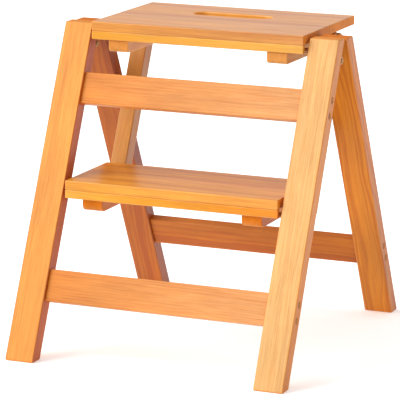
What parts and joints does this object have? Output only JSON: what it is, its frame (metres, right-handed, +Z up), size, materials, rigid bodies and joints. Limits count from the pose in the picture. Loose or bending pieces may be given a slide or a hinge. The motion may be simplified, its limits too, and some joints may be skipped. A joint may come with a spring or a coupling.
{
  "type": "folding step stool chair",
  "caption": "Pine folding step stool chair: a seat board with a hand hole, a lower step, leaning front legs, a hinged rear frame and two links that fold seat and step together.",
  "frame": {"origin": "on the floor, under the middle of the stool's bounding box", "axes": "+X to the sitter's left as seen from the front (the stool's right side in the picture), +Y to the back, +Z up"},
  "size_m": [0.426, 0.5134, 0.47],
  "materials": {
    "frame_pine": "clear satin lacquer on pine",
    "board_pine": "clear satin lacquer on pine",
    "rail_screw_head": "flush plugs over the screws",
    "steel": "zinc-plated"
  },
  "bodies": {
    "front_frame": {"front_leg_left": "frame_pine", "front_leg_right": "frame_pine", "front_rail_lower": "frame_pine", "front_rail_lower_screw_left_lower": "rail_screw_head", "front_rail_lower_screw_left_upper": "rail_screw_head", "front_rail_lower_screw_right_lower": "rail_screw_head", "front_rail_lower_screw_right_upper": "rail_screw_head", "front_rail_upper": "frame_pine", "front_rail_upper_screw_left_lower": "rail_screw_head", "front_rail_upper_screw_left_upper": "rail_screw_head", "front_rail_upper_screw_right_lower": "rail_screw_head", "front_rail_upper_screw_right_upper": "rail_screw_head", "hinge_front_leaf_left": "steel", "hinge_front_leaf_right": "steel", "hinge_front_screw_left_1": "steel", "hinge_front_screw_left_2": "steel", "hinge_front_screw_right_1": "steel", "hinge_front_screw_right_2": "steel", "hinge_pin_left": "steel", "hinge_pin_right": "steel", "rear_stop_block_left": "frame_pine", "rear_stop_block_right": "frame_pine", "seat_pivot_rod": "steel", "step_pivot_rod": "steel"},
    "rear_frame": {"hinge_rear_screw_left_1": "steel", "hinge_rear_screw_left_2": "steel", "hinge_rear_screw_right_1": "steel", "hinge_rear_screw_right_2": "steel", "hinge_rear_strap_left": "steel", "hinge_rear_strap_right": "steel", "rear_leg_left": "frame_pine", "rear_leg_right": "frame_pine", "rear_rail": "frame_pine", "rear_rail_screw_left_lower": "rail_screw_head", "rear_rail_screw_left_upper": "rail_screw_head", "rear_rail_screw_right_lower": "rail_screw_head", "rear_rail_screw_right_upper": "rail_screw_head"},
    "seat": {"link_stop_pin_left": "frame_pine", "link_stop_pin_right": "frame_pine", "seat_cleat_left": "frame_pine", "seat_cleat_right": "frame_pine", "seat_front_strip": "frame_pine", "seat_plank_1": "board_pine", "seat_plank_2": "board_pine", "seat_plank_3": "board_pine", "seat_plank_4": "board_pine"},
    "step": {"step_cleat_left": "frame_pine", "step_cleat_right": "frame_pine", "step_front_strip": "frame_pine", "step_plank_1": "board_pine", "step_plank_2": "board_pine", "step_plank_3": "board_pine"},
    "links": {"link_left": "frame_pine", "link_right": "frame_pine", "seat_link_cap_left": "steel", "seat_link_cap_right": "steel", "seat_link_rod": "steel", "step_link_cap_left": "steel", "step_link_cap_right": "steel", "step_link_rod": "steel"}
  },
  "joints": [
    {"name": "seat_fold", "type": "hinge", "parent": "front_frame", "child": "seat", "pos_m": [0, -0.04041, 0.446], "axis": [1, 0, 0], "range_deg": [0, 64]},
    {"name": "step_fold", "type": "hinge", "parent": "front_frame", "child": "step", "pos_m": [0, -0.13951, 0.226], "axis": [1, 0, 0], "range_deg": [0, 64]},
    {"name": "link_swing", "type": "hinge", "parent": "seat", "child": "links", "pos_m": [0, 0.10109, 0.436], "axis": [1, 0, 0], "range_deg": [-64, 0]},
    {"name": "rear_fold", "type": "hinge", "parent": "front_frame", "child": "rear_frame", "pos_m": [0, -0.02872, 0.433], "axis": [-1, 0, 0], "range_deg": [0, 51.9]}
  ],
  "couplings": [
    {"joint": "step_fold", "follows": "seat_fold", "ratio": 1},
    {"joint": "link_swing", "follows": "seat_fold", "ratio": -1}
  ]
}
